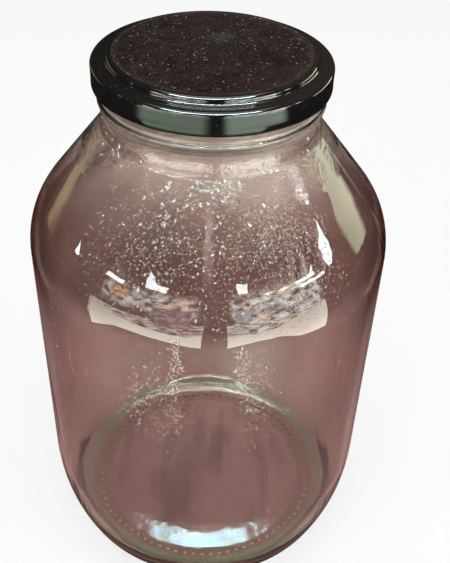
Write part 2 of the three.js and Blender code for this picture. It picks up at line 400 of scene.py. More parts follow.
# Outer profile from the middle of the base up to the rim: dome under the base, bearing ring, heel arc,
# the shared runs, neck, bead, neck, rim. Returns the points and the stipple ring's radius.
def outerProfile(jar):
    heelMiddle, heelTurn, wall = wallRuns(jar, 0, jar.heelRadius, jar.heelRadius, 18, 8)
    lift = jar.stippleHeight
    footInner = heelMiddle[0] - jar.footWidth
    stippleRadius = heelMiddle[0] - jar.stippleInset
    zoneIn, zoneOut = stippleRadius - jar.stippleZone, stippleRadius + jar.stippleZone
    out = np.linspace(0, 1, 7)
    dome = columns(out * footInner, lift + (jar.pushUp - lift) * (1 - out ** 2))
    startAngle = math.degrees(math.acos(1 - lift / jar.heelRadius)) - 90
    heel = arcPoints(heelMiddle, jar.heelRadius, startAngle, heelTurn, 10)
    swell = np.radians(np.linspace(0, 180, 12))
    beadZ = lidLow[2] - jar.beadBelowLid - jar.beadHeight / 2 * np.cos(swell)
    bead = columns(jar.neckRadius + jar.beadProud * np.sin(swell), beadZ)
    rimZ = jar.rimTop - jar.rimRound
    ridgeFoot = (jar.neckRadius, rimZ - jar.ridgeZone)
    profile = joined(
        dome,
        linePoints((footInner, lift), (zoneIn, lift), 2),
        linePoints((zoneIn, lift), (zoneOut, lift), 10),
        linePoints((zoneOut, lift), heel[0], 2),
        heel,
        wall,
        linePoints(wall[-1], bead[0], 3),
        bead,
        linePoints(bead[-1], ridgeFoot, 3),
        linePoints(ridgeFoot, (jar.neckRadius, rimZ), 16),
        arcPoints((jar.neckRadius - jar.rimRound, rimZ), jar.rimRound, 0, 90, 6),
    )
    return profile, stippleRadius


# Inner profile from the rim down to the middle of the floor: the shared runs one wall further in, and a
# heel arc that meets a soft ramp, which runs down to the flat floor.
def innerProfile(jar):
    heelZ = jar.baseThickness + jar.innerHeelRadius
    heelMiddle, heelTurn, wall = wallRuns(jar, jar.wall, jar.innerHeelRadius, heelZ, 16, 10)
    rimMiddle = (jar.neckRadius - jar.wall + jar.rimRound, jar.rimTop - jar.rimRound)
    rim = arcPoints(rimMiddle, jar.rimRound, 90, 180, 6)
    lean = math.degrees(math.atan(jar.rampPower * jar.rampRise / (heelMiddle[0] - jar.rampStart)))
    heel = arcPoints(heelMiddle, jar.innerHeelRadius, heelTurn, lean - 90, 12)
    out = np.linspace(heel[-1, 0], 0, 18)
    ramp = np.clip((out - jar.rampStart) / (heel[-1, 0] - jar.rampStart), 0, 1) ** jar.rampPower
    floor = columns(out, heel[-1, 1] - jar.rampRise + ramp * jar.rampRise)
    return joined(rim, linePoints(rim[-1], wall[-1], 5), wall[::-1], heel, floor)


# Rises from 0 to 1 above a height, over a length; both are given as one pair.
def above(height, span):
    return eased((height - span[0]) / span[1])


# Falls from 1 to 0 below a height, over a length.
def below(height, span):
    return eased((span[0] - height) / span[1])


# The inner wall's waves fade out at the rim and on the floor, and are weak low on the wall.
def innerOffset(jar, turn, height):
    free = eased((jar.rimTop - height) / jar.innerRim) * above(height, jar.innerFoot)
    low = jar.innerLowShare
    free = free * (low + (1 - low) * above(height, jar.innerLow))
    return jar.innerWave * glassWave(turn, height, jar.innerSeed) * free


# Slanting ridges on the neck: a rounded band whose middle height falls along its turn, tapered at both
# ends.
def ridgeOffset(jar, turn, height):
    pitch = fullTurn / jar.lugCount
    gap = math.radians(jar.ridgeGap)
    top = jar.rimTop - jar.ridgeBelowRim
    total = np.zeros(np.broadcast(turn, height).shape)
    for number in range(jar.lugCount):
        start = math.radians(jar.firstLug) + number * pitch - gap / 2
        along = (start - turn) % fullTurn / (pitch - gap)
        middle = top - jar.ridgeHeight / 2 - jar.ridgeFall * np.clip(along, 0, 1)
        ends = eased(along / jar.ridgeTaper) * eased((1 - along) / jar.ridgeTaper)
        total = total + jar.ridgeProud * ends * np.exp(-(np.abs(height - middle) / jar.ridgeHalf) ** 4)
    return total


# Jar solid: outer and inner profiles turned round the axis, with waves, ridges, mould seams and stipple
# dots as small offsets of radius and height.
def makeGlassJar(jar):
    outer, stippleRadius = outerProfile(jar)
    inner = innerProfile(jar)
    profile = joined(outer, inner)
    isInner = np.arange(len(profile)) >= len(outer)
    turn, radius, height = spun(profile, jar.turns)
    onWall = above(height, jar.outerFoot) * below(height, jar.outerTop)
    outerWave = -jar.outerWave * (1 + glassWave(turn, height, jar.outerSeed)) * onWall
    seam = np.zeros_like(height)
    for side in (0, math.pi):
        away = turnBetween(turn, math.radians(jar.seamTurn) + side) * radius
        seam = seam + np.exp(-(away / jar.seamWidth) ** 2)
    onSeam = above(height, jar.seamFoot) * below(height, jar.seamTop)
    free = 1 - above(radius, (jar.bodyRadius - jar.seamEdge[0], jar.seamEdge[1]))
    share = jar.seamWallShare + (1 - jar.seamWallShare) * free
    seamLift = jar.seamProud * (seam * onSeam * share - onWall)
    nearNeck = np.abs(radius - jar.neckRadius) < jar.tolerance
    ridge = np.where(nearNeck, ridgeOffset(jar, turn, height), 0)
    outerShift = outerWave + seamLift + ridge
    radius = radius + np.where(isInner[:, None], innerOffset(jar, turn, height), outerShift)
    dot = turnBetween(turn * jar.stippleCount, 0) / jar.stippleCount * stippleRadius
    spread = dot ** 2 + (profile[:, :1] - stippleRadius) ** 2
    onFoot = (~isInner[:, None]) & (height < jar.stippleHeight + jar.tolerance)
    dots = jar.stippleHeight * np.exp(-spread / jar.stippleSpread ** 2)
    height = height - np.where(onFoot, dots, 0)
    radius[0], radius[-1] = 0, 0
    return turnedObject("jarGlass", radius, height)


# The lid's sheet, in millimetres; its width, top and lower edge come from the frame.
lidShell = dict(
    radius=lidHigh[0],
    top=lidHigh[2],
    bottom=lidLow[2],
    sheet=0.5,
    border=9.4,
    panelRise=3.4,
    crestRadius=2.2,
    rootRadius=1.6,
    shoulderRadius=2.0,
    panelDish=0.3,
    panelRim=6.0,
    dishInset=0.6,
    dishWidth=3.2,
    dishDepth=1.5,  # least height above the ring that sinks with the dish
    curlWidth=1.55,
    curlHeight=2.3,
    skirtTuck=0.06,
    tuckLength=2.5,
    tuckEnd=0.7,
    tuckFade=1.0,
    hem=0.9,
    innerDrop=1.2,
    skirtZone=3.0,
    lugDepth=1.45,
    lugHeight=0.8,
    lugBend=2.6,
    lugFlat=5.15,
    lugFlank=5.55,
    lugOuterShare=0.18,
    turns=360,
)


# One side of the sheet from the axis to the skirt: panel, crest arc, step, root arc, ring, shoulder arc,
# skirt. Each arc keeps its centre, and the depth below the outer side is taken off or added to its
# radius.
def lidSkin(lid, depth):
    panelEdge = lid.radius - lid.border
    ringTop = lid.top - lid.panelRise
    arcs = lid.crestRadius + lid.rootRadius
    stepTurn = math.degrees(math.acos(1 - lid.panelRise / arcs))
    rootX = panelEdge + arcs * math.sin(math.radians(stepTurn))
    crestCentre = (panelEdge, lid.top - lid.crestRadius)
    rootCentre = (rootX, ringTop + lid.rootRadius)
    shoulderCentre = (lid.radius - lid.shoulderRadius, ringTop - lid.shoulderRadius)
    crest = arcPoints(crestCentre, lid.crestRadius - depth, 90, 90 - stepTurn, 12)
    root = arcPoints(rootCentre, lid.rootRadius + depth, 270 - stepTurn, 270, 10)
    shoulder = arcPoints(shoulderCentre, lid.shoulderRadius - depth, 90, 0, 12)
    panel = linePoints((0, lid.top - depth), (panelEdge - lid.panelRim, lid.top - depth), 10)
    rise = linePoints(panel[-1], crest[0], 12)
    skin = joined(panel, rise, crest, root, linePoints(root[-1], shoulder[0], 6), shoulder)
    dish = below(skin[:, 0], (panelEdge - lid.dishInset, lid.dishWidth)) * lid.panelDish
    skin[:, 1] -= np.where(skin[:, 1] > ringTop + lid.dishDepth, dish, 0)
    return skin


# Lid solid: outer skin, skirt drawn in a little above the curl, curl round the lower edge, and the inner
# skin back to the axis. Lugs press the lower edge inwards with eased flanks, and the skirt above bends
# with them.
def makeLidShell(lid, jar):
    outer = lidSkin(lid, 0)
    inner = lidSkin(lid, lid.sheet)[::-1]
    curl = lid.curlWidth / 2
    curlX = lid.radius - curl
    curlZ = lid.bottom + curl
    innerX = lid.radius - lid.sheet - lid.skirtTuck
    skirtZ = np.linspace(outer[-1, 1], curlZ, 22)
    curlTop = lid.bottom + lid.curlHeight
    tuck = lid.skirtTuck * below(skirtZ, (outer[-1, 1], lid.tuckLength))
    back = 1 - below(skirtZ, (curlTop + lid.tuckEnd, lid.tuckFade))
    skirt = columns(lid.radius - tuck * back, skirtZ)
    hemX = lid.radius - lid.curlWidth
    inside = linePoints((hemX, curlZ), (hemX, curlZ + lid.hem), 2)
    neckIn = linePoints((innerX, curlTop + lid.hem), (innerX, inner[0, 1] - lid.innerDrop), 8)
    profile = joined(outer, skirt, arcPoints((curlX, curlZ), curl, 0, -180, 10), inside, neckIn, inner)
    turn, radius, height = spun(profile, lid.turns)
    low = eased((lid.bottom + lid.lugHeight + lid.lugBend - height) / lid.lugBend)
    press = np.zeros_like(height)
    for number in range(jar.lugCount):
        middle = math.radians(jar.firstLug) + number * fullTurn / jar.lugCount
        away = np.abs(turnBetween(turn, middle)) * lid.radius
        press = press + eased((lid.lugFlat + lid.lugFlank - away) / lid.lugFlank)
    onSkirt = radius > lid.radius - lid.skirtZone
    innerSide = eased((lid.radius - radius) / lid.curlWidth)
    depth = lid.lugDepth * (lid.lugOuterShare + (1 - lid.lugOuterShare) * innerSide)
    radius = radius - np.where(onSkirt, depth * press * low, 0)
    return turnedObject("lidSheet", radius, height)


# The sealing ring, in millimetres: a soft rounded band with the rim's faint print in its lower face.
sealRing = dict(
    inner=48.4,
    outer=sealHigh[0],
    bottom=sealLow[2],
    top=sealHigh[2],
    round=0.6,
    printDepth=0.22,
    printWidth=1.5,
    edgeWave=0.12,
    edgeWidth=2.5,
    seed=3,
    tolerance=0.05,
    turns=240,
)


# Ring solid: a rounded rectangle, its corners quarter arcs, with a shallow groove below and small waves
# on its edges.
def makeSealRing(seal):
    r = seal.round
    left, right = seal.inner + r, seal.outer - r
    low, high = seal.bottom + r, seal.top - r
    profile = joined(
        linePoints((left, seal.bottom), (right, seal.bottom), 14),
        arcPoints((right, low), r, -90, 0, 5),
        arcPoints((right, high), r, 0, 90, 5),
        linePoints((right, seal.top), (left, seal.top), 6),
        arcPoints((left, high), r, 90, 180, 5),
        arcPoints((left, low), r, 180, 265, 5),
    )
    turn, radius, height = spun(profile, seal.turns)
    middle = (seal.inner + seal.outer) / 2
    groove = seal.printDepth * np.exp(-((radius - middle) / seal.printWidth) ** 4)
    height = height + np.where(height < seal.bottom + seal.tolerance, groove, 0)
    edge = below(radius, (middle, seal.edgeWidth))
    radius = radius + seal.edgeWave * edge * (1 + glassWave(turn * 3, height, seal.seed))
    return turnedObject("sealBand", radius, height, ring=True)


jarGlass = makeGlassJar(named(glassJar))
lidSheet = makeLidShell(named(lidShell), named(glassJar))
sealBand = makeSealRing(named(sealRing))
for piece, body, node, slot in (
    (jarGlass, "jar", "glass_jar", "jar_glass"),
    (lidSheet, "lid", "lid_shell", "lid_lacquer"),
    (sealBand, "lid_seal", "seal_ring", "seal_compound"),
):
    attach(piece, body)
    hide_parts(node)
    print(piece.name, len(piece.data.polygons), "triangles")

# Water on the shoulder and the wall. Each patch: how many drops, then least, most likely and greatest
# turn in degrees, the same for height, and the range of base radius, in millimetres.
waterDrops = dict(
    rise=0.5,  # height of a drop over its base radius
    gap=0.03,
    sag=0.5,  # most that a drop of the sag size stretches downwards
    sagSize=1.2,
    lowest=60,
    highest=275,
    mistCap=(6, (1.0, 0.72), (0.0, 0.6)),  # sides, ring radii and ring heights
    dropCap=(8, (1.0, 0.86, 0.5), (0.0, 0.5, 0.88)),
    seed=29,
    mist=(
        (3600, (-4, 28, 50), (203, 243, 269), (0.12, 0.34)),
        (1700, (-48, -16, 10), (206, 238, 266), (0.12, 0.34)),
        (130, (12, 36, 64), (100, 170, 206), (0.10, 0.26)),
        (100, (-64, -30, -12), (100, 170, 206), (0.10, 0.26)),
        (190, (-11, -8.6, -6), (165, 196, 207), (0.22, 0.55)),
        (90, (-12, -9, -6), (135, 160, 190), (0.2, 0.5)),
        (200, (7.5, 10.3, 13), (160, 194, 207), (0.22, 0.55)),
        (90, (-25, -20.6, -17), (138, 160, 185), (0.2, 0.5)),
        (40, (-55, -54, -53), (140, 178, 204), (0.12, 0.4)),
        (40, (-47, -46, -45), (110, 165, 204), (0.12, 0.4)),
        (30, (-39.5, -39, -38.5), (130, 170, 200), (0.12, 0.35)),
        (30, (44, 45, 46), (110, 165, 200), (0.12, 0.35)),
        (500, (14, 42, 78), (250, 266, 274.5), (0.12, 0.34)),
        (240, (8, 13, 23), (120, 172, 204), (0.16, 0.45)),
    ),
    drops=(
        (170, (-50, -10, 46), (210, 240, 266), (0.3, 0.7)),
        (26, (-40, 0, 36), (236, 256, 266), (0.7, 1.3)),
        (110, (-22, -16, -9), (122, 180, 204), (0.2, 0.5)),
        (70, (9, 14, 20), (140, 180, 204), (0.2, 0.45)),
        (110, (-80, 0, 80), (260, 268, 274.5), (0.35, 1.0)),
    ),
    inside=(
        (140, (-70, 0, 70), (150, 220, 262), (0.3, 0.9)),
        (150, (-75, 0, 75), (125, 170, 215), (0.15, 0.4)),
    ),
)


# A drop is a low cap: rings of points whose radius shrinks as they rise from the wall, closed by a flat
# base. All caps of one side are placed at once on that wall, with two directions along the wall and one
# away from it.
def makeWaterDrops(name, drops, jar, side):
    patches = getattr(drops, side)
    dice = np.random.default_rng(drops.seed + len(patches))
    outside = side != "inside"
    wall = outerProfile(jar)[0] if outside else innerProfile(jar)[::-1]
    wall = wall[(wall[:, 1] > drops.lowest) & (wall[:, 1] < drops.highest)]
    step = np.gradient(wall, axis=0)
    step /= np.linalg.norm(step, axis=1, keepdims=True)
    turn, height, size = [], [], []
    for count, turns, heights, sizes in patches:
        turn.append(np.radians(dice.triangular(*turns, count)))
        height.append(dice.triangular(*heights, count))
        size.append(sizes[0] + (sizes[1] - sizes[0]) * dice.uniform(0, 1, count) ** 2)
    turn, height, size = (np.concatenate(x)[:, None] for x in (turn, height, size))
    radius = np.interp(height, wall[:, 1], wall[:, 0])
    outX = np.interp(height, wall[:, 1], step[:, 0])
    outZ = np.interp(height, wall[:, 1], step[:, 1])
    if not outside:
        radius = radius + innerOffset(jar, turn, height)
    sideways = np.stack([np.cos(turn), np.sin(turn), 0 * turn], axis=-1)
    alongWall = roundPoints(outX, turn, outZ)
    away = roundPoints(outZ, turn, -outX) * (1 if outside else -1)
    centre = roundPoints(radius, turn, height)
    sides, ringRadius, ringRise = drops.mistCap if side == "mist" else drops.dropCap
    angle = np.arange(sides) * fullTurn / sides
    levels = len(ringRadius)
    x = np.append(np.outer(ringRadius, np.cos(angle)), [0, 0])
    y = np.append(np.outer(ringRadius, np.sin(angle)), [0, 0])
    z = np.append(np.repeat(ringRise, sides), [1, 0]) * drops.rise
    stretch = 1 + dice.uniform(0, drops.sag, (len(size), 1)) * eased(size / drops.sagSize)
    sag = np.where(y < 0, stretch, 1.0)
    points = centre + away * (size * z + drops.gap)[:, :, None]
    points = points + sideways * (size * x)[:, :, None]
    points = points + alongWall * (size * y * sag)[:, :, None]
    ring = np.arange(sides)
    follow = np.roll(ring, -1)
    top, base = levels * sides, levels * sides + 1
    cap = [columns(base, follow, ring)]
    for level in range(levels - 1):
        low, high = level * sides, (level + 1) * sides
        cap.append(columns(ring + low, follow + low, follow + high))
        cap.append(columns(ring + low, follow + high, ring + high))
    cap.append(columns(ring + top - sides, follow + top - sides, top))
    cap = np.concatenate(cap)
    offset = np.arange(len(size))[:, None, None] * (base + 1)
    triangles = (cap[None] + offset).reshape(-1, 3)
    return solidObject(name, points.reshape(-1, 3) * mm, triangles)


water = (named(waterDrops), named(glassJar))
fineMist = makeWaterDrops("fineMist", *water, "mist")
shoulderDrops = makeWaterDrops("shoulderDrops", *water, "drops")
innerDrops = makeWaterDrops("innerDrops", *water, "inside")
for piece in (fineMist, shoulderDrops, innerDrops):
    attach(piece, "jar")
    print(piece.name, len(piece.data.polygons), "triangles")

# Finishes. The glass takes its tint from its height and then from each zone in turn: a colour, how it is
# laid on, and the ranges over which it comes in, whose shares are multiplied. A range is a field and
# where it starts and is full, in metres; the fields are x, y, z, reach from the axis, and facing from
# Layer Weight. A colour may be the name of a film, which is a noise given by stretch, grain and colour
# stops, or of a fade between two colours.
onShoulder = (("z", 0.198, 0.212), ("z", 0.266, 0.252))
onTips = (("z", 0.00045, 0.0002), ("y", 0.02, -0.03))
# Facing range of the painted dark edges of the glass.
paintedEdgeRange = ("facing", 0.45, 0.78)
glassLook = dict(
    stopHeight=0.3,
    # The tint by height is partly the glass's own colour and partly painted: the mauve of the surface
    # behind, seen through the glass, and a darker band of painted shade on the shoulder.
    stops=(  # share of that height, tint of one wall
        (0.00, (0.53, 0.41, 0.39)),
        (0.05, (0.57, 0.475, 0.42)),
        (0.11, (0.55, 0.48, 0.41)),
        (0.20, (0.60, 0.475, 0.45)),
        (0.43, (0.61, 0.485, 0.46)),
        (0.56, (0.73, 0.59, 0.55)),
        (0.665, (0.67, 0.55, 0.52)),
        (0.695, (0.39, 0.29, 0.262)),
        (0.775, (0.38, 0.275, 0.242)),
        (0.825, (0.53, 0.455, 0.41)),
        (0.865, (0.76, 0.72, 0.65)),
        (0.90, (0.85, 0.86, 0.76)),
        (0.93, (0.66, 0.67, 0.59)),
        (1.00, (0.70, 0.72, 0.64)),
    ),
    # The heel fade: the heel's own green, greener towards the front as a painted reflection of the
    # surroundings.
    fades={"heelGreenAndFrontReflection": ((0.27, 0.56, 0.35, 1), (0.20, 0.76, 0.36, 1), ("y", -0.03, -0.07))},
    films={
        "blotch": ((1, 1, 1), (32.0, 2.0, 0.5), ((0.36, (0.80, 0.80, 0.80)), (0.58, (1, 1, 1)))),
        "streak": ((1, 1, 0.12), (28.0, 3.0, 0.55), ((0.3, (0.90, 0.87, 0.87)), (0.7, (1, 1, 1)))),
        "stain": ((1, 0.22, 1), (60.0, 3.0, 0.5), ((0.36, (0.62, 0.59, 0.59)), (0.54, (1, 1, 1)))),
    },
    zones={
        "heel": ("heelGreenAndFrontReflection", "MIX", (("reach", 0.071, 0.0745), ("z", 0.010, 0.004))),
        # Painted light: the right side of the neck is made paler, standing in for brighter reflections
        # there.
        "paintedLightNeckRight": ((0.95, 1.0, 0.88, 1), "MIX", (("x", 0.0, 0.036), ("z", 0.250, 0.264))),
        # Painted reflection: olive green low on the front of the wall, where the surroundings show green
        # through the glass.
        "paintedReflectionLowFront": (
            (0.47, 0.53, 0.40, 1), "MIX",
            (("z", 0.044, 0.034), ("reach", 0.078, 0.082), ("y", -0.055, -0.075)),
        ),
        "leftShade": (
            (0.82, 0.87, 0.87, 1), "MULTIPLY",
            (("x", -0.005, -0.02), ("x", -0.078, -0.058), *onShoulder),
        ),
        "shoulder": ("blotch", "MULTIPLY", onShoulder),
        # Painted reflection: a pale upright streak on the front of the shoulder.
        "paintedReflectionStreak": (
            (0.84, 0.78, 0.73, 1), "MIX",
            (("x", 0.002, 0.014), ("x", 0.040, 0.024), ("z", 0.150, 0.180), ("z", 0.208, 0.198),
             ("y", -0.04, -0.06)),
        ),
        "foot": ((0.34, 0.31, 0.24, 1), "MIX", (("reach", 0.0635, 0.0645), ("z", 0.0012, 0.0007))),
        "everywhere": ("streak", "MULTIPLY", ()),
        # Painted shade: the glass is made redder and then near black towards its grazing edges, by Layer
        # Weight's facing.
        "side": ((1.0, 0.78, 0.75, 1), "MULTIPLY", (paintedEdgeRange,)),
        "paintedDarkEdge": ((0.03, 0.005, 0.004, 1), "MIX", (paintedEdgeRange, ("z", 0.08, 0.19), ("z", 0.252, 0.222))),
        "floor": ("stain", "MULTIPLY", (("reach", 0.066, 0.058), ("z", 0.014, 0.012))),
        # Stipple tips: worn, and made near clear at the front as a painted highlight, so the dots show
        # bright.
        "wornTipsAndHighlight": ((1.0, 1.0, 0.97, 1), "MIX", onTips),
    },
    smear=((1, 1, 0.12), (60.0, 5.0, 0.6)),
    smearRange=(0.55, 0.9, 0.0, 0.05),
    roughZones={  # roughness and its ranges
        "wornTipsAndHighlight": (0.6, onTips),
        "neck": (0.10, (("z", 0.246, 0.262),)),
        "bead": (0.2, (("z", 0.270, 0.276),)),
    },
    ripple=((1, 1, 0.12), (90.0, 2.0, 0.5)),
    wrinkle=((1, 1, 2.5), (150.0, 4.0, 0.6)),
    wrinkleRange=(0.250, 0.266, 0.0, 12.0),
    bump=(0.06, 0.002),
    absorbColour=(0.5, 0.12, 0.07, 1),
    absorbDensity=28.0,
    ior=1.5,
)


# How far a point lies inside all ranges of a zone, from 0 to 1.
def zoneMask(net, fields, ranges):
    shares = [net.span(fields[field], low, high) for field, low, high in ranges]
    mask = shares[0] if shares else 1.0
    for share in shares[1:]:
        mask = net.times(mask, share)
    return mask


# Soda glass: tint by height and zone, faint smears in roughness, fine ripples, wrinkles on the neck,
# absorption.
def makeGlassMaterial(look):
    net = newMaterial("sodaGlass")
    x, y, z = net.parts(net.coords)
    facing = net.add("LayerWeight", {"Blend": 0.5}).outputs["Facing"]
    fields = {"x": x, "y": y, "z": z, "reach": net.reach(), "facing": facing}
    tint = net.ramp(net.span(z, 0.0, look.stopHeight), look.stops)
    for colour, blend, ranges in look.zones.values():
        if colour in look.fades:
            first, second, span = look.fades[colour]
            colour = net.mix(zoneMask(net, fields, (span,)), first, second)
        elif colour in look.films:
            stretch, grain, stops = look.films[colour]
            colour = net.ramp(net.stretched(stretch, grain), stops)
        if blend == "MULTIPLY":
            colour = net.mix(1.0, tint, colour, "MULTIPLY")
        tint = net.mix(zoneMask(net, fields, ranges), tint, colour)
    rough = net.span(net.stretched(*look.smear), *look.smearRange)
    for amount, ranges in look.roughZones.values():
        share = net.times(zoneMask(net, fields, ranges), amount)
        rough = net.math("MAXIMUM", rough, share)
    wrinkle = net.stretched(*look.wrinkle)
    wrinkle = net.times(wrinkle, net.span(z, *look.wrinkleRange))
    height = net.math("ADD", net.stretched(*look.ripple), wrinkle)
    net.show(net.add("BsdfPrincipled", {
        "Base Color": tint,
        "Roughness": rough,
        "Normal": net.bump(height, look.bump),
        "IOR": look.ior,
        "Transmission Weight": 1.0,
        "Metallic": 0.0,
    }))
    absorb = {"Color": look.absorbColour, "Density": look.absorbDensity}
    net.show(net.add("VolumeAbsorption", absorb), "Volume")
    return net.material


waterLook = dict(
    clear=(0.97, (1.0, 0.92, 0.86)),  # transmission and colour
    mist=(0.74, (0.86, 0.73, 0.66)),
    cloud=(300.0, 2.0, 0.5),
    dullShare=0.9,
    dullRange=(0.3, 0.7),
    roughRange=(0.4, 0.8, 0.02, 0.12),
    specularTint=(1.0, 0.84, 0.76, 1),
    ior=1.333,
)


# Water: cloudy drops that scatter part of the light, with a cloudiness that changes from drop to drop.
def makeWaterMaterial(name, look, clear, colour):
    net = newMaterial(name)
    cloud = net.noise(*look.cloud)
    dull = tuple(look.dullShare * part for part in colour)
    net.show(net.add("BsdfPrincipled", {
        "Base Color": net.ramp(cloud, tuple(zip(look.dullRange, (dull, colour)))),
        "Roughness": net.span(cloud, *look.roughRange),
        "IOR": look.ior,
        "Specular Tint": look.specularTint,
        "Transmission Weight": clear,
        "Metallic": 0.0,
    }))
    return net.material


panelLook = dict(
    dark=(0.0130, 0.0058, 0.0048, 1),
    worn=(0.021, 0.0100, 0.0084, 1),
    cloud=(38.0, 6.0, 0.65),
    wornRange=(0.35, 0.7),
    # Darker lacquer towards the left edge.
    cleaner=(0.006, 0.0025, 0.002, 1),  # towards the left edge
    cleanRange=(-0.005, -0.045, 0.0, 0.6),
    grain=(0.46, 0.38, 0.33, 1),
    coarseDust=(820.0, 0.32, 0.24),  # scale, grain and cover
    fineDust=(1900.0, 0.45, 0.3),
    filmShare=0.045,
    fineShare=0.3,
    coarseShare=0.9,
    # Paler ring near the panel's edge: dust, and a painted highlight along the crest.
    rimDust=(0.0435, 0.0462, 0.0, 0.035),  # distance from the axis, then share
    markColour=(0.060, 0.064, 0.052, 1),
    markPlace=(0.0041, 0.0147, 0.3010),  # finger mark on the panel
    markSize=(0.0068, 0.0072, 0.02),
    markRange=(1.1, 0.45, 0.0, 0.85),
    fray=(420.0, 4.0, 0.6),
    frayRange=(0.2, 0.8, -0.4, 0.4),
    lines=(900.0, 3.0, 0.6),
    lineRange=(0.3, 0.65),
    roughRange=(0.3, 0.7, 0.5, 0.68),
    grit=(1500.0, 2.0, 0.5),
    gritDust=0.7,
    bump=(0.25, 0.0003),
    specular=0.06,
    edgeInset=0.4,  # faces this far inside the panel's edge and this near its top, in millimetres
    topDepth=0.45,
)


# Panel lacquer: brown-black with worn clouds, dust grains over all of it, and a grey finger mark.
def makePanelMaterial(look):
    net = newMaterial("dustyLacquer")
    cloud = net.noise(*look.cloud)
    base = net.mix(net.span(cloud, *look.wornRange), look.dark, look.worn)
    across = net.parts(net.coords)[0]
    base = net.mix(net.span(across, *look.cleanRange), base, look.cleaner)
    coarse, film = dust(net, *look.coarseDust)
    fine = dust(net, *look.fineDust)[0]
    for mask, share in ((film, look.filmShare), (fine, look.fineShare), (coarse, look.coarseShare)):
        base = net.mix(net.times(mask, share), base, look.grain)
    # Paler ring at the panel's edge: dust and a painted highlight along the crest.
    rim = net.span(net.reach(), *look.rimDust)
    base = net.mix(rim, base, look.grain)
    centred = net.add("Mapping", {
        "Vector": net.coords,
        "Location": tuple(-spot / size for spot, size in zip(look.markPlace, look.markSize)),
        "Scale": tuple(1 / size for size in look.markSize),
    }).outputs[0]
    reach = net.length(centred)
    fray = net.span(net.noise(*look.fray), *look.frayRange)
    mark = net.span(net.math("ADD", reach, fray), *look.markRange)
    lines = net.span(net.noise(*look.lines), *look.lineRange)
    base = net.mix(net.times(mark, lines), base, look.markColour)
    lumps = net.times(coarse, look.gritDust)
    height = net.math("ADD", net.noise(*look.grit), lumps)
    net.show(net.add("BsdfPrincipled", {
        "Base Color": base,
        "Roughness": net.span(cloud, *look.roughRange),
        "Normal": net.bump(height, look.bump),
        "Specular IOR Level": look.specular,
    }))
    return net.material


glossLook = dict(
    dark=(0.006, 0.006, 0.006, 1),
    grain=(0.16, 0.15, 0.13, 1),
    dust=(900.0, 0.26, 0.12),
    filmShare=0.03,
    grainShare=0.7,
    film=(0.16, 0.10, 0.085, 1),  # dust on upward faces, thicker to the right
    upward=(0.35, 0.9),
    settled=(-0.05, 0.045, 0.02, 0.12),
    cloud=(55.0, 4.0, 0.6),
    roughRange=(0.3, 0.75, 0.06, 0.13),
    wave=(140.0, 2.0, 0.5),
    bump=(0.08, 0.0006),
    coat=0.35,
    coatRough=0.08,
)


# Border and skirt lacquer: black and glossy, with slow roughness clouds and a few grains of dust.
def makeGlossMaterial(look):
    net = newMaterial("glossLacquer")
    grains, film = dust(net, *look.dust)
    base = net.mix(net.times(film, look.filmShare), look.dark, look.grain)
    normal = net.add("TexCoord").outputs["Normal"]
    upward = net.span(net.parts(normal)[2], *look.upward)
    across = net.parts(net.coords)[0]
    settled = net.times(upward, net.span(across, *look.settled))
    base = net.mix(settled, base, look.film)
    base = net.mix(net.times(grains, look.grainShare), base, look.grain)
    net.show(net.add("BsdfPrincipled", {
        "Base Color": base,
        "Roughness": net.span(net.noise(*look.cloud), *look.roughRange),
        "Normal": net.bump(net.noise(*look.wave), look.bump),
        "Coat Weight": look.coat,
        "Coat Roughness": look.coatRough,
    }))
    return net.material


sealLook = dict(
    blotch=(90.0, 4.0, 0.6),
    stops=((0.3, (0.58, 0.54, 0.46)), (0.7, (0.70, 0.66, 0.58))),
    roughRange=(0.3, 0.7, 0.55, 0.7),
    peel=(900.0, 2.0, 0.5),
    bump=(0.3, 0.0003),
)


# Sealing compound: pale and matte, slightly blotched, with a fine orange-peel bump.
def makeSealMaterial(look):
    net = newMaterial("sealCompound")
    blotch = net.noise(*look.blotch)
    net.show(net.add("BsdfPrincipled", {
        "Base Color": net.ramp(blotch, look.stops),
        "Roughness": net.span(blotch, *look.roughRange),
        "Normal": net.bump(net.noise(*look.peel), look.bump),
    }))
    return net.material


clearWater = makeWaterMaterial("clearWater", named(waterLook), *waterLook["clear"])
for piece, material in (
    (jarGlass, makeGlassMaterial(named(glassLook))),
    (fineMist, makeWaterMaterial("mistWater", named(waterLook), *waterLook["mist"])),
    (shoulderDrops, clearWater),
    (innerDrops, clearWater),
    (sealBand, makeSealMaterial(named(sealLook))),
    (lidSheet, makeGlossMaterial(named(glossLook))),
    (lidSheet, makePanelMaterial(named(panelLook))),
):
    piece.data.materials.append(material)
# Faces of the raised panel, out to its crest, take the dusty lacquer.
faceMiddle = np.empty(len(lidSheet.data.polygons) * 3)
lidSheet.data.polygons.foreach_get("center", faceMiddle)
faceMiddle = faceMiddle.reshape(-1, 3) / mm
panelRadius = lidShell["radius"] - lidShell["border"] - panelLook["edgeInset"]
panelFace = np.hypot(faceMiddle[:, 0], faceMiddle[:, 1]) < panelRadius
panelFace &= faceMiddle[:, 2] > lidShell["top"] - panelLook["topDepth"]
lidSheet.data.polygons.foreach_set("material_index", panelFace.astype(np.int32))
print("finishes made")

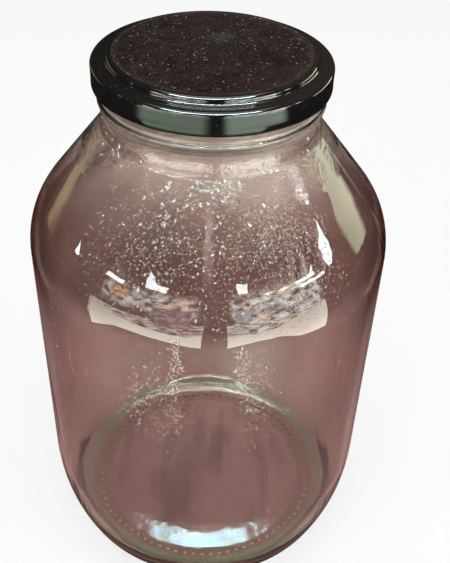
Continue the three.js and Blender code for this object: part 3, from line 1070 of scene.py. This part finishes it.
# Studio: pale floor, soft light from above, small cool lamps, and cards that only reflections show.
studio = dict(
    floorHalf=6.0,
    floorDrop=0.0003,
    floorColour=(0.92, 0.91, 0.90, 1),
    floorGlow=0.75,  # share of plain white that camera, mirror and glass rays see
    world=(0.42, 0.41, 0.41, 1),
    worldInGlass=(0.66, 0.64, 0.63, 1),
    backdrop=(0.93, 0.925, 0.92, 1),  # what the camera sees of the world
    topPower=26.0,
    topSize=(2.0, 2.0),
    topPlace=(0.0, -0.2, 2.2),
    topColour=(1, 0.99, 0.97),
    aim=(0, 0, 0.15),  # the middle of the jar
    lampGlow=20.0,
    lampColour=(0.86, 0.97, 1.0),
    lamps=(  # place and size in metres
        ((-2.4, -0.05, 0.89), (0.14, 0.07)),
        ((-1.19, -0.745, 0.785), (0.30, 0.10)),
        ((-0.68, -1.1, 0.93), (0.29, 0.15)),
        ((0.44, -1.1, 0.92), (0.14, 0.13)),
        ((1.23, -0.656, 0.78), (0.35, 0.075)),
        ((2.05, -0.25, 0.96), (0.25, 0.15)),
        ((1.29, -0.58, 0.65), (0.42, 0.07)),
    ),
    bounces=24,
    clamp=60.0,
)


def makeFloor(spec):
    half, low = spec.floorHalf, -spec.floorDrop
    corners = [(-half, -half, low), (half, -half, low), (half, half, low), (-half, half, low)]
    floor = meshObject("floor", corners, [(0, 1, 2, 3)])
    net = newMaterial("paleFloor")
    path = net.add("LightPath").outputs
    seen = net.math("MAXIMUM", path["Is Camera Ray"], path["Is Glossy Ray"])
    seen = net.math("MAXIMUM", seen, path["Is Transmission Ray"])
    matte = net.add("BsdfDiffuse", {"Color": spec.floorColour}).outputs[0]
    white = net.add("Emission", {"Color": (1, 1, 1, 1), "Strength": 1.0}).outputs[0]
    share = net.times(seen, spec.floorGlow)
    net.show(net.add("MixShader", {0: share, 1: matte, 2: white}))
    floor.data.materials.append(net.material)


# Lamp of a rectangle of light, turned to face the middle of the jar.
def makeLamp(name, spot, size, power, colour, aim):
    data = bpy.data.lights.new(name, "AREA")
    data.shape = "RECTANGLE"
    data.size, data.size_y = size
    data.energy = power
    data.color = colour
    lamp = linked(name, data)
    ahead = Vector(aim) - Vector(spot)
    lamp.matrix_world = Matrix.Translation(spot) @ ahead.to_track_quat("-Z", "Y").to_matrix().to_4x4()
    lamp.visible_camera = False


cardLook = dict(
    rows=49,
    columns=17,
    drop=0.0001,
    margin=0.01,  # keeps the range of a card with one distance open
    spin=1.5,  # weight of the turn in the mottle's place
    mottle=(3.0, 0.6),
    mottleRange=(0.38, 0.64),
    toneScale=0.4,
    tone=(1.0, 0.5),
    toneRange=(0.4, 0.6),
    warm=(1.1, 0.94, 0.84, 1),
    cool=(0.90, 0.97, 1.01, 1),
)

# Cards: turns in degrees, distances and heights in metres, colour with glow, and extras. Extras: rays,
# where other than mirror rays show the card; far, the colour of the far edge; mottle and its grain; soft,
# the share that fades at the ends, near edge and far edge; fromAbove, for a card that is clear from
# below; and tables whose rows start with a turn: edges with the near and far distance, tops with the
# upper height, and levels with the share of glow.
mottledFar = (1.0, 0.97, 0.88, 5.4)
brightFar = (0.94, 1.0, 0.95, 7.0)
black = (0, 0, 0, 1.0)
darkBrown = (0.02, 0.02, 0.019, 1.0)
leftEdges = (
    (-66, 0.32, 1.5), (-64, 0.32, 1.4), (-60, 0.34, 1.1), (-50, 0.42, 0.74), (-38, 0.41, 0.65),
    (-27, 0.385, 0.58), (-12, 0.34, 0.52), (-8, 0.33, 0.52), (-3, 0.32, 0.64),
)
rightEdges = (
    (11, 0.32, 0.55), (28, 0.38, 0.57), (40, 0.385, 0.66), (46, 0.345, 0.8), (52, 0.312, 1.0),
    (60, 0.308, 1.2), (68, 0.308, 1.5),
)
leftLevels = ((-66, 0.74), (-56, 0.80), (-42, 1.04), (-3, 1.1))
rightLevels = ((11, 1.02), (40, 1.0), (52, 0.88), (68, 0.86))
crescentTops = ((176.5, 1.19), (178.2, 1.19), (179.9, 1.12), (181.8, 1.19))
allRound = (-180, 180)
cards = dict(
    leftNear=((-66, -3), (0.5, 1.1), (0.012, 0.012), (1.0, 1.01, 0.82, 9.0),
        {"far": (1.0, 1.0, 0.78, 6.2), "edges": leftEdges, "levels": leftLevels}),
    leftOuter=((-68, -2), (0.45, 1.5), (0.010, 0.010), (0.98, 0.9, 0.86, 3.6),
        {"far": mottledFar, "mottle": 0.97, "grain": 6.5}),
    leftScreen=((-64, -3), (1.5, 1.5), (0.01, 1.05), mottledFar,
        {"mottle": 0.98, "grain": 6.5, "soft": (0.1, 0.36, 0.4)}),
    rightNear=((11, 68), (0.55, 1.2), (0.012, 0.012), (1.0, 1.0, 0.84, 9.4),
        {"far": (1.0, 1.02, 0.82, 7.6), "edges": rightEdges, "levels": rightLevels}),
    rightOuter=((11, 68), (0.45, 1.5), (0.010, 0.010), (0.93, 1.0, 0.9, 6.1),
        {"far": brightFar, "mottle": 0.97, "grain": 6.5}),
    rightScreen=((12, 68), (1.5, 1.5), (0.01, 1.15), brightFar,
        {"mottle": 0.98, "grain": 6.5, "soft": (0.06, 0, 0.4)}),
    amberPatch=((-58, -46), (1.46, 1.46), (0.2, 0.85), (1.1, 0.78, 0.46, 4.6),
        {"mottle": 0.9, "grain": 11, "soft": (0.25, 0.2, 0.2)}),
    mauvePatch=((-32, -7), (0.8, 1.46), (0.012, 0.44), (0.9, 0.68, 0.80, 2.8),
        {"mottle": 0.7, "grain": 9, "soft": (0.12, 0.1, 0.2)}),
    bluePatch=((15, 26), (1.46, 1.46), (0.06, 0.46), (0.60, 0.86, 1.05, 6.0),
        {"mottle": 0.35, "grain": 9, "soft": (0.12, 0.12, 0.12)}),
    palePatch=((33, 52), (1.46, 1.46), (0.76, 0.88), (1.0, 1.0, 0.95, 13.0),
        {"mottle": 0.8, "grain": 8, "soft": (0.1, 0.3, 0.3)}),
    leftSkirt=((-54, 0.6), (0.086, 0.122), (0.268, 0.268), (0.76, 1.0, 0.74, 2.3),
        {"soft": (0.15, 0.4, 0), "fromAbove": True}),
    rightSkirt=((5.8, 55), (0.086, 0.122), (0.268, 0.268), (0.80, 1.0, 0.78, 3.3),
        {"soft": (0.15, 0.4, 0), "fromAbove": True}),
    skirtFoot=((-54, 55), (0.060, 0.086), (0.268, 0.268), black,
        {"soft": (0, 0, 0), "fromAbove": True}),
    frontPole=((-5, 5), (1.5, 1.5), (1.15, 1.9), (1.0, 0.84, 0.80, 3.8),
        {"soft": (0.4, 0.6, 0.1)}),
    rightBack=((97, 136), (1.2, 1.2), (0.25, 0.52), (0.95, 1.08, 0.74, 3.9),
        {"soft": (0.12, 0.2, 0)}),
    leftBack=((-146, -106), (1.2, 1.2), (0.17, 0.36), (1.0, 0.85, 0.45, 1.5),
        {"soft": (0.35, 0.3, 0.3)}),
    overFront=((-62, 62), (0.83, 0.92), (1.58, 1.52), (0.72, 1.0, 1.0, 106.0), {}),
    throughBack=((176.5, 183.5), (1.25, 1.25), (1.02, 1.18), (0.33, 1.0, 1.28, 150),
        {"rays": "glass", "soft": (0.42, 0.12, 0.12), "tops": crescentTops}),
    backStop=((168, 192), (0.30, 0.30), (0.200, 0.268), black, {"rays": "glass"}),
    ceiling=((-0.5, 0.5), (-1.1, 0.75), (1.6, 1.6), (0.52, 1.0, 1.05, 48),
        {"rays": "ceiling", "mottle": 0.85, "grain": 5.0}),
    # Painted shadow: the mats, seen only in reflections, are darkest next to the jar as its painted contact
    # shadow.
    paintedContactShadowMat=(allRound, (0.0, 0.10), (0, 0), (0.07, 0.055, 0.04, 1.0),
        {"far": (0.16, 0.09, 0.08, 1.0)}),
    nearMat=(allRound, (0.10, 0.32), (0, 0), (0.30, 0.17, 0.155, 1.0),
        {"far": (0.03, 0.014, 0.012, 1.0)}),
    farMat=(allRound, (0.32, 2.9), (0, 0), (0.02, 0.012, 0.011, 1.0),
        {"far": (0.012, 0.01, 0.009, 1.0)}),
    darkRoom=(allRound, (3.0, 3.0), (0, 2.6), darkBrown, {}),
    darkTop=(allRound, (3.0, 0.05), (2.6, 2.6), darkBrown, {}),
)


# The columns of one of a card's tables at the given turns, or the plain values where the card has no such
# table.
def cardTable(extras, name, turns, across, plain):
    rows = np.array(extras.get(name, [(turn, *plain) for turn in turns]))
    return [np.interp(across, rows[:, 0], column) for column in rows[:, 1:].T]


# Mottle on a card: a noise over turn, distance and height, or over place for a ceiling, and a slow change
# of tone.
def mottled(net, away, colour, extras, flat):
    spots = net.coords
    if not flat:
        x, y, z = net.parts(net.coords)
        spin = net.times(net.math("ARCTAN2", x, y), cardLook["spin"])
        spots = net.add("CombineXYZ", {0: spin, 1: away, 2: z}).outputs[0]
    patches = net.noise(extras["grain"], *cardLook["mottle"], spots)
    depth = extras["mottle"]
    patches = net.span(patches, *cardLook["mottleRange"], 1 - depth, 1 + depth)
    colour = net.mix(1.0, colour, patches, "MULTIPLY")
    if flat:
        return colour
    tone = net.noise(extras["grain"] * cardLook["toneScale"], *cardLook["tone"], spots)
    tone = net.mix(net.span(tone, *cardLook["toneRange"]), cardLook["warm"], cardLook["cool"])
    return net.mix(1.0, colour, tone, "MULTIPLY")


# Card: a strip round the jar between two turns, rising from its near edge to its far edge, or upright
# where both distances are the same; a ceiling is a flat sheet, with its width and depth given in metres.
# A card shows only in mirror rays or only through glass, with a colour and glow that change from the near
# edge to the far one.
def makeCard(name, spec):
    turns, reach, heights, near, extras = spec
    rays = extras.get("rays", "mirror")
    far = extras.get("far", near)
    side = np.linspace(0, 1, cardLook["rows"])[:, None]
    share = np.linspace(0, 1, cardLook["columns"])[None, :]
    across = turns[0] + (turns[1] - turns[0]) * side
    nearest, farthest = cardTable(extras, "edges", turns, across, reach)
    upper, = cardTable(extras, "tops", turns, across, heights[1:])
    level, = cardTable(extras, "levels", turns, across, (1.0,))
    distance = nearest + (farthest - nearest) * share
    height = heights[0] + (upper - heights[0]) * share
    turn = np.radians(across)
    if rays == "ceiling":
        points = np.stack([across + 0 * share, distance, height], axis=-1)
    else:
        height = height - cardLook["drop"]
        points = roundPoints(distance, turn, height)
    index = np.arange(points.shape[0] * points.shape[1]).reshape(points.shape[:2])
    quads = np.stack([index[:-1, :-1], index[1:, :-1], index[1:, 1:], index[:-1, 1:]], axis=-1)
    card = meshObject(name, points.reshape(-1, 3), quads.reshape(-1, 4))
    tiny = 1e-9
    ends, nearEdge, farEdge = (width + tiny for width in extras.get("soft", (0, 0, 0)))
    fade = eased((np.minimum(side, 1 - side) + tiny) / ends)
    fade = fade * eased((share + tiny) / nearEdge) * eased((1 - share + tiny) / farEdge)
    for attribute, values in (("fade", fade), ("level", level + 0 * share)):
        column = card.data.attributes.new(attribute, "FLOAT", "POINT").data
        column.foreach_set("value", values.ravel())
    net = newMaterial(name)
    away = net.reach()
    bright = [(*(part * edge[3] for part in edge[:3]), 1) for edge in (near, far)]
    colour = net.mix(net.span(away, reach[0], reach[1] + cardLook["margin"]), *bright)
    if "mottle" in extras:
        colour = mottled(net, away, colour, extras, rays == "ceiling")
    soft = net.add("Attribute", attribute_name="fade").outputs["Fac"]
    glow, solid = net.add("Attribute", attribute_name="level").outputs["Fac"], soft
    if "fromAbove" in extras:
        glow, solid = soft, net.add("NewGeometry").outputs["Backfacing"]
    shine = net.add("Emission", {"Color": colour, "Strength": glow})
    if "soft" in extras:
        clear = net.add("BsdfTransparent").outputs[0]
        shine = net.add("MixShader", {0: solid, 1: clear, 2: shine.outputs[0]})
    net.show(shine)
    card.data.materials.append(net.material)
    card.visible_camera = False
    card.visible_diffuse = False
    card.visible_glossy = rays == "mirror"
    card.visible_transmission = rays != "mirror"
    card.visible_shadow = False
    card.visible_volume_scatter = False


def makeStudio(spec):
    makeFloor(spec)
    makeLamp("softTop", spec.topPlace, spec.topSize, spec.topPower, spec.topColour, spec.aim)
    for number, (spot, size) in enumerate(spec.lamps):
        power = math.pi * size[0] * size[1] * spec.lampGlow
        makeLamp(f"coolLamp{number}", spot, size, power, spec.lampColour, spec.aim)
    for name, card in cards.items():
        makeCard(name, card)
    world = bpy.data.worlds.new("studio")
    world.use_nodes = True
    net = NodeNet(world.node_tree)
    path = net.add("LightPath").outputs
    colour = net.mix(path["Is Transmission Ray"], spec.world, spec.worldInGlass)
    colour = net.mix(path["Is Camera Ray"], colour, spec.backdrop)
    net.tree.links.new(colour, net.tree.nodes["Background"].inputs["Color"])
    scene = bpy.context.scene
    scene.world = world
    scene.view_settings.view_transform = "Standard"
    scene.cycles.max_bounces = spec.bounces
    scene.cycles.transmission_bounces = spec.bounces
    scene.cycles.sample_clamp_indirect = spec.clamp


makeStudio(named(studio))
print("studio lit")
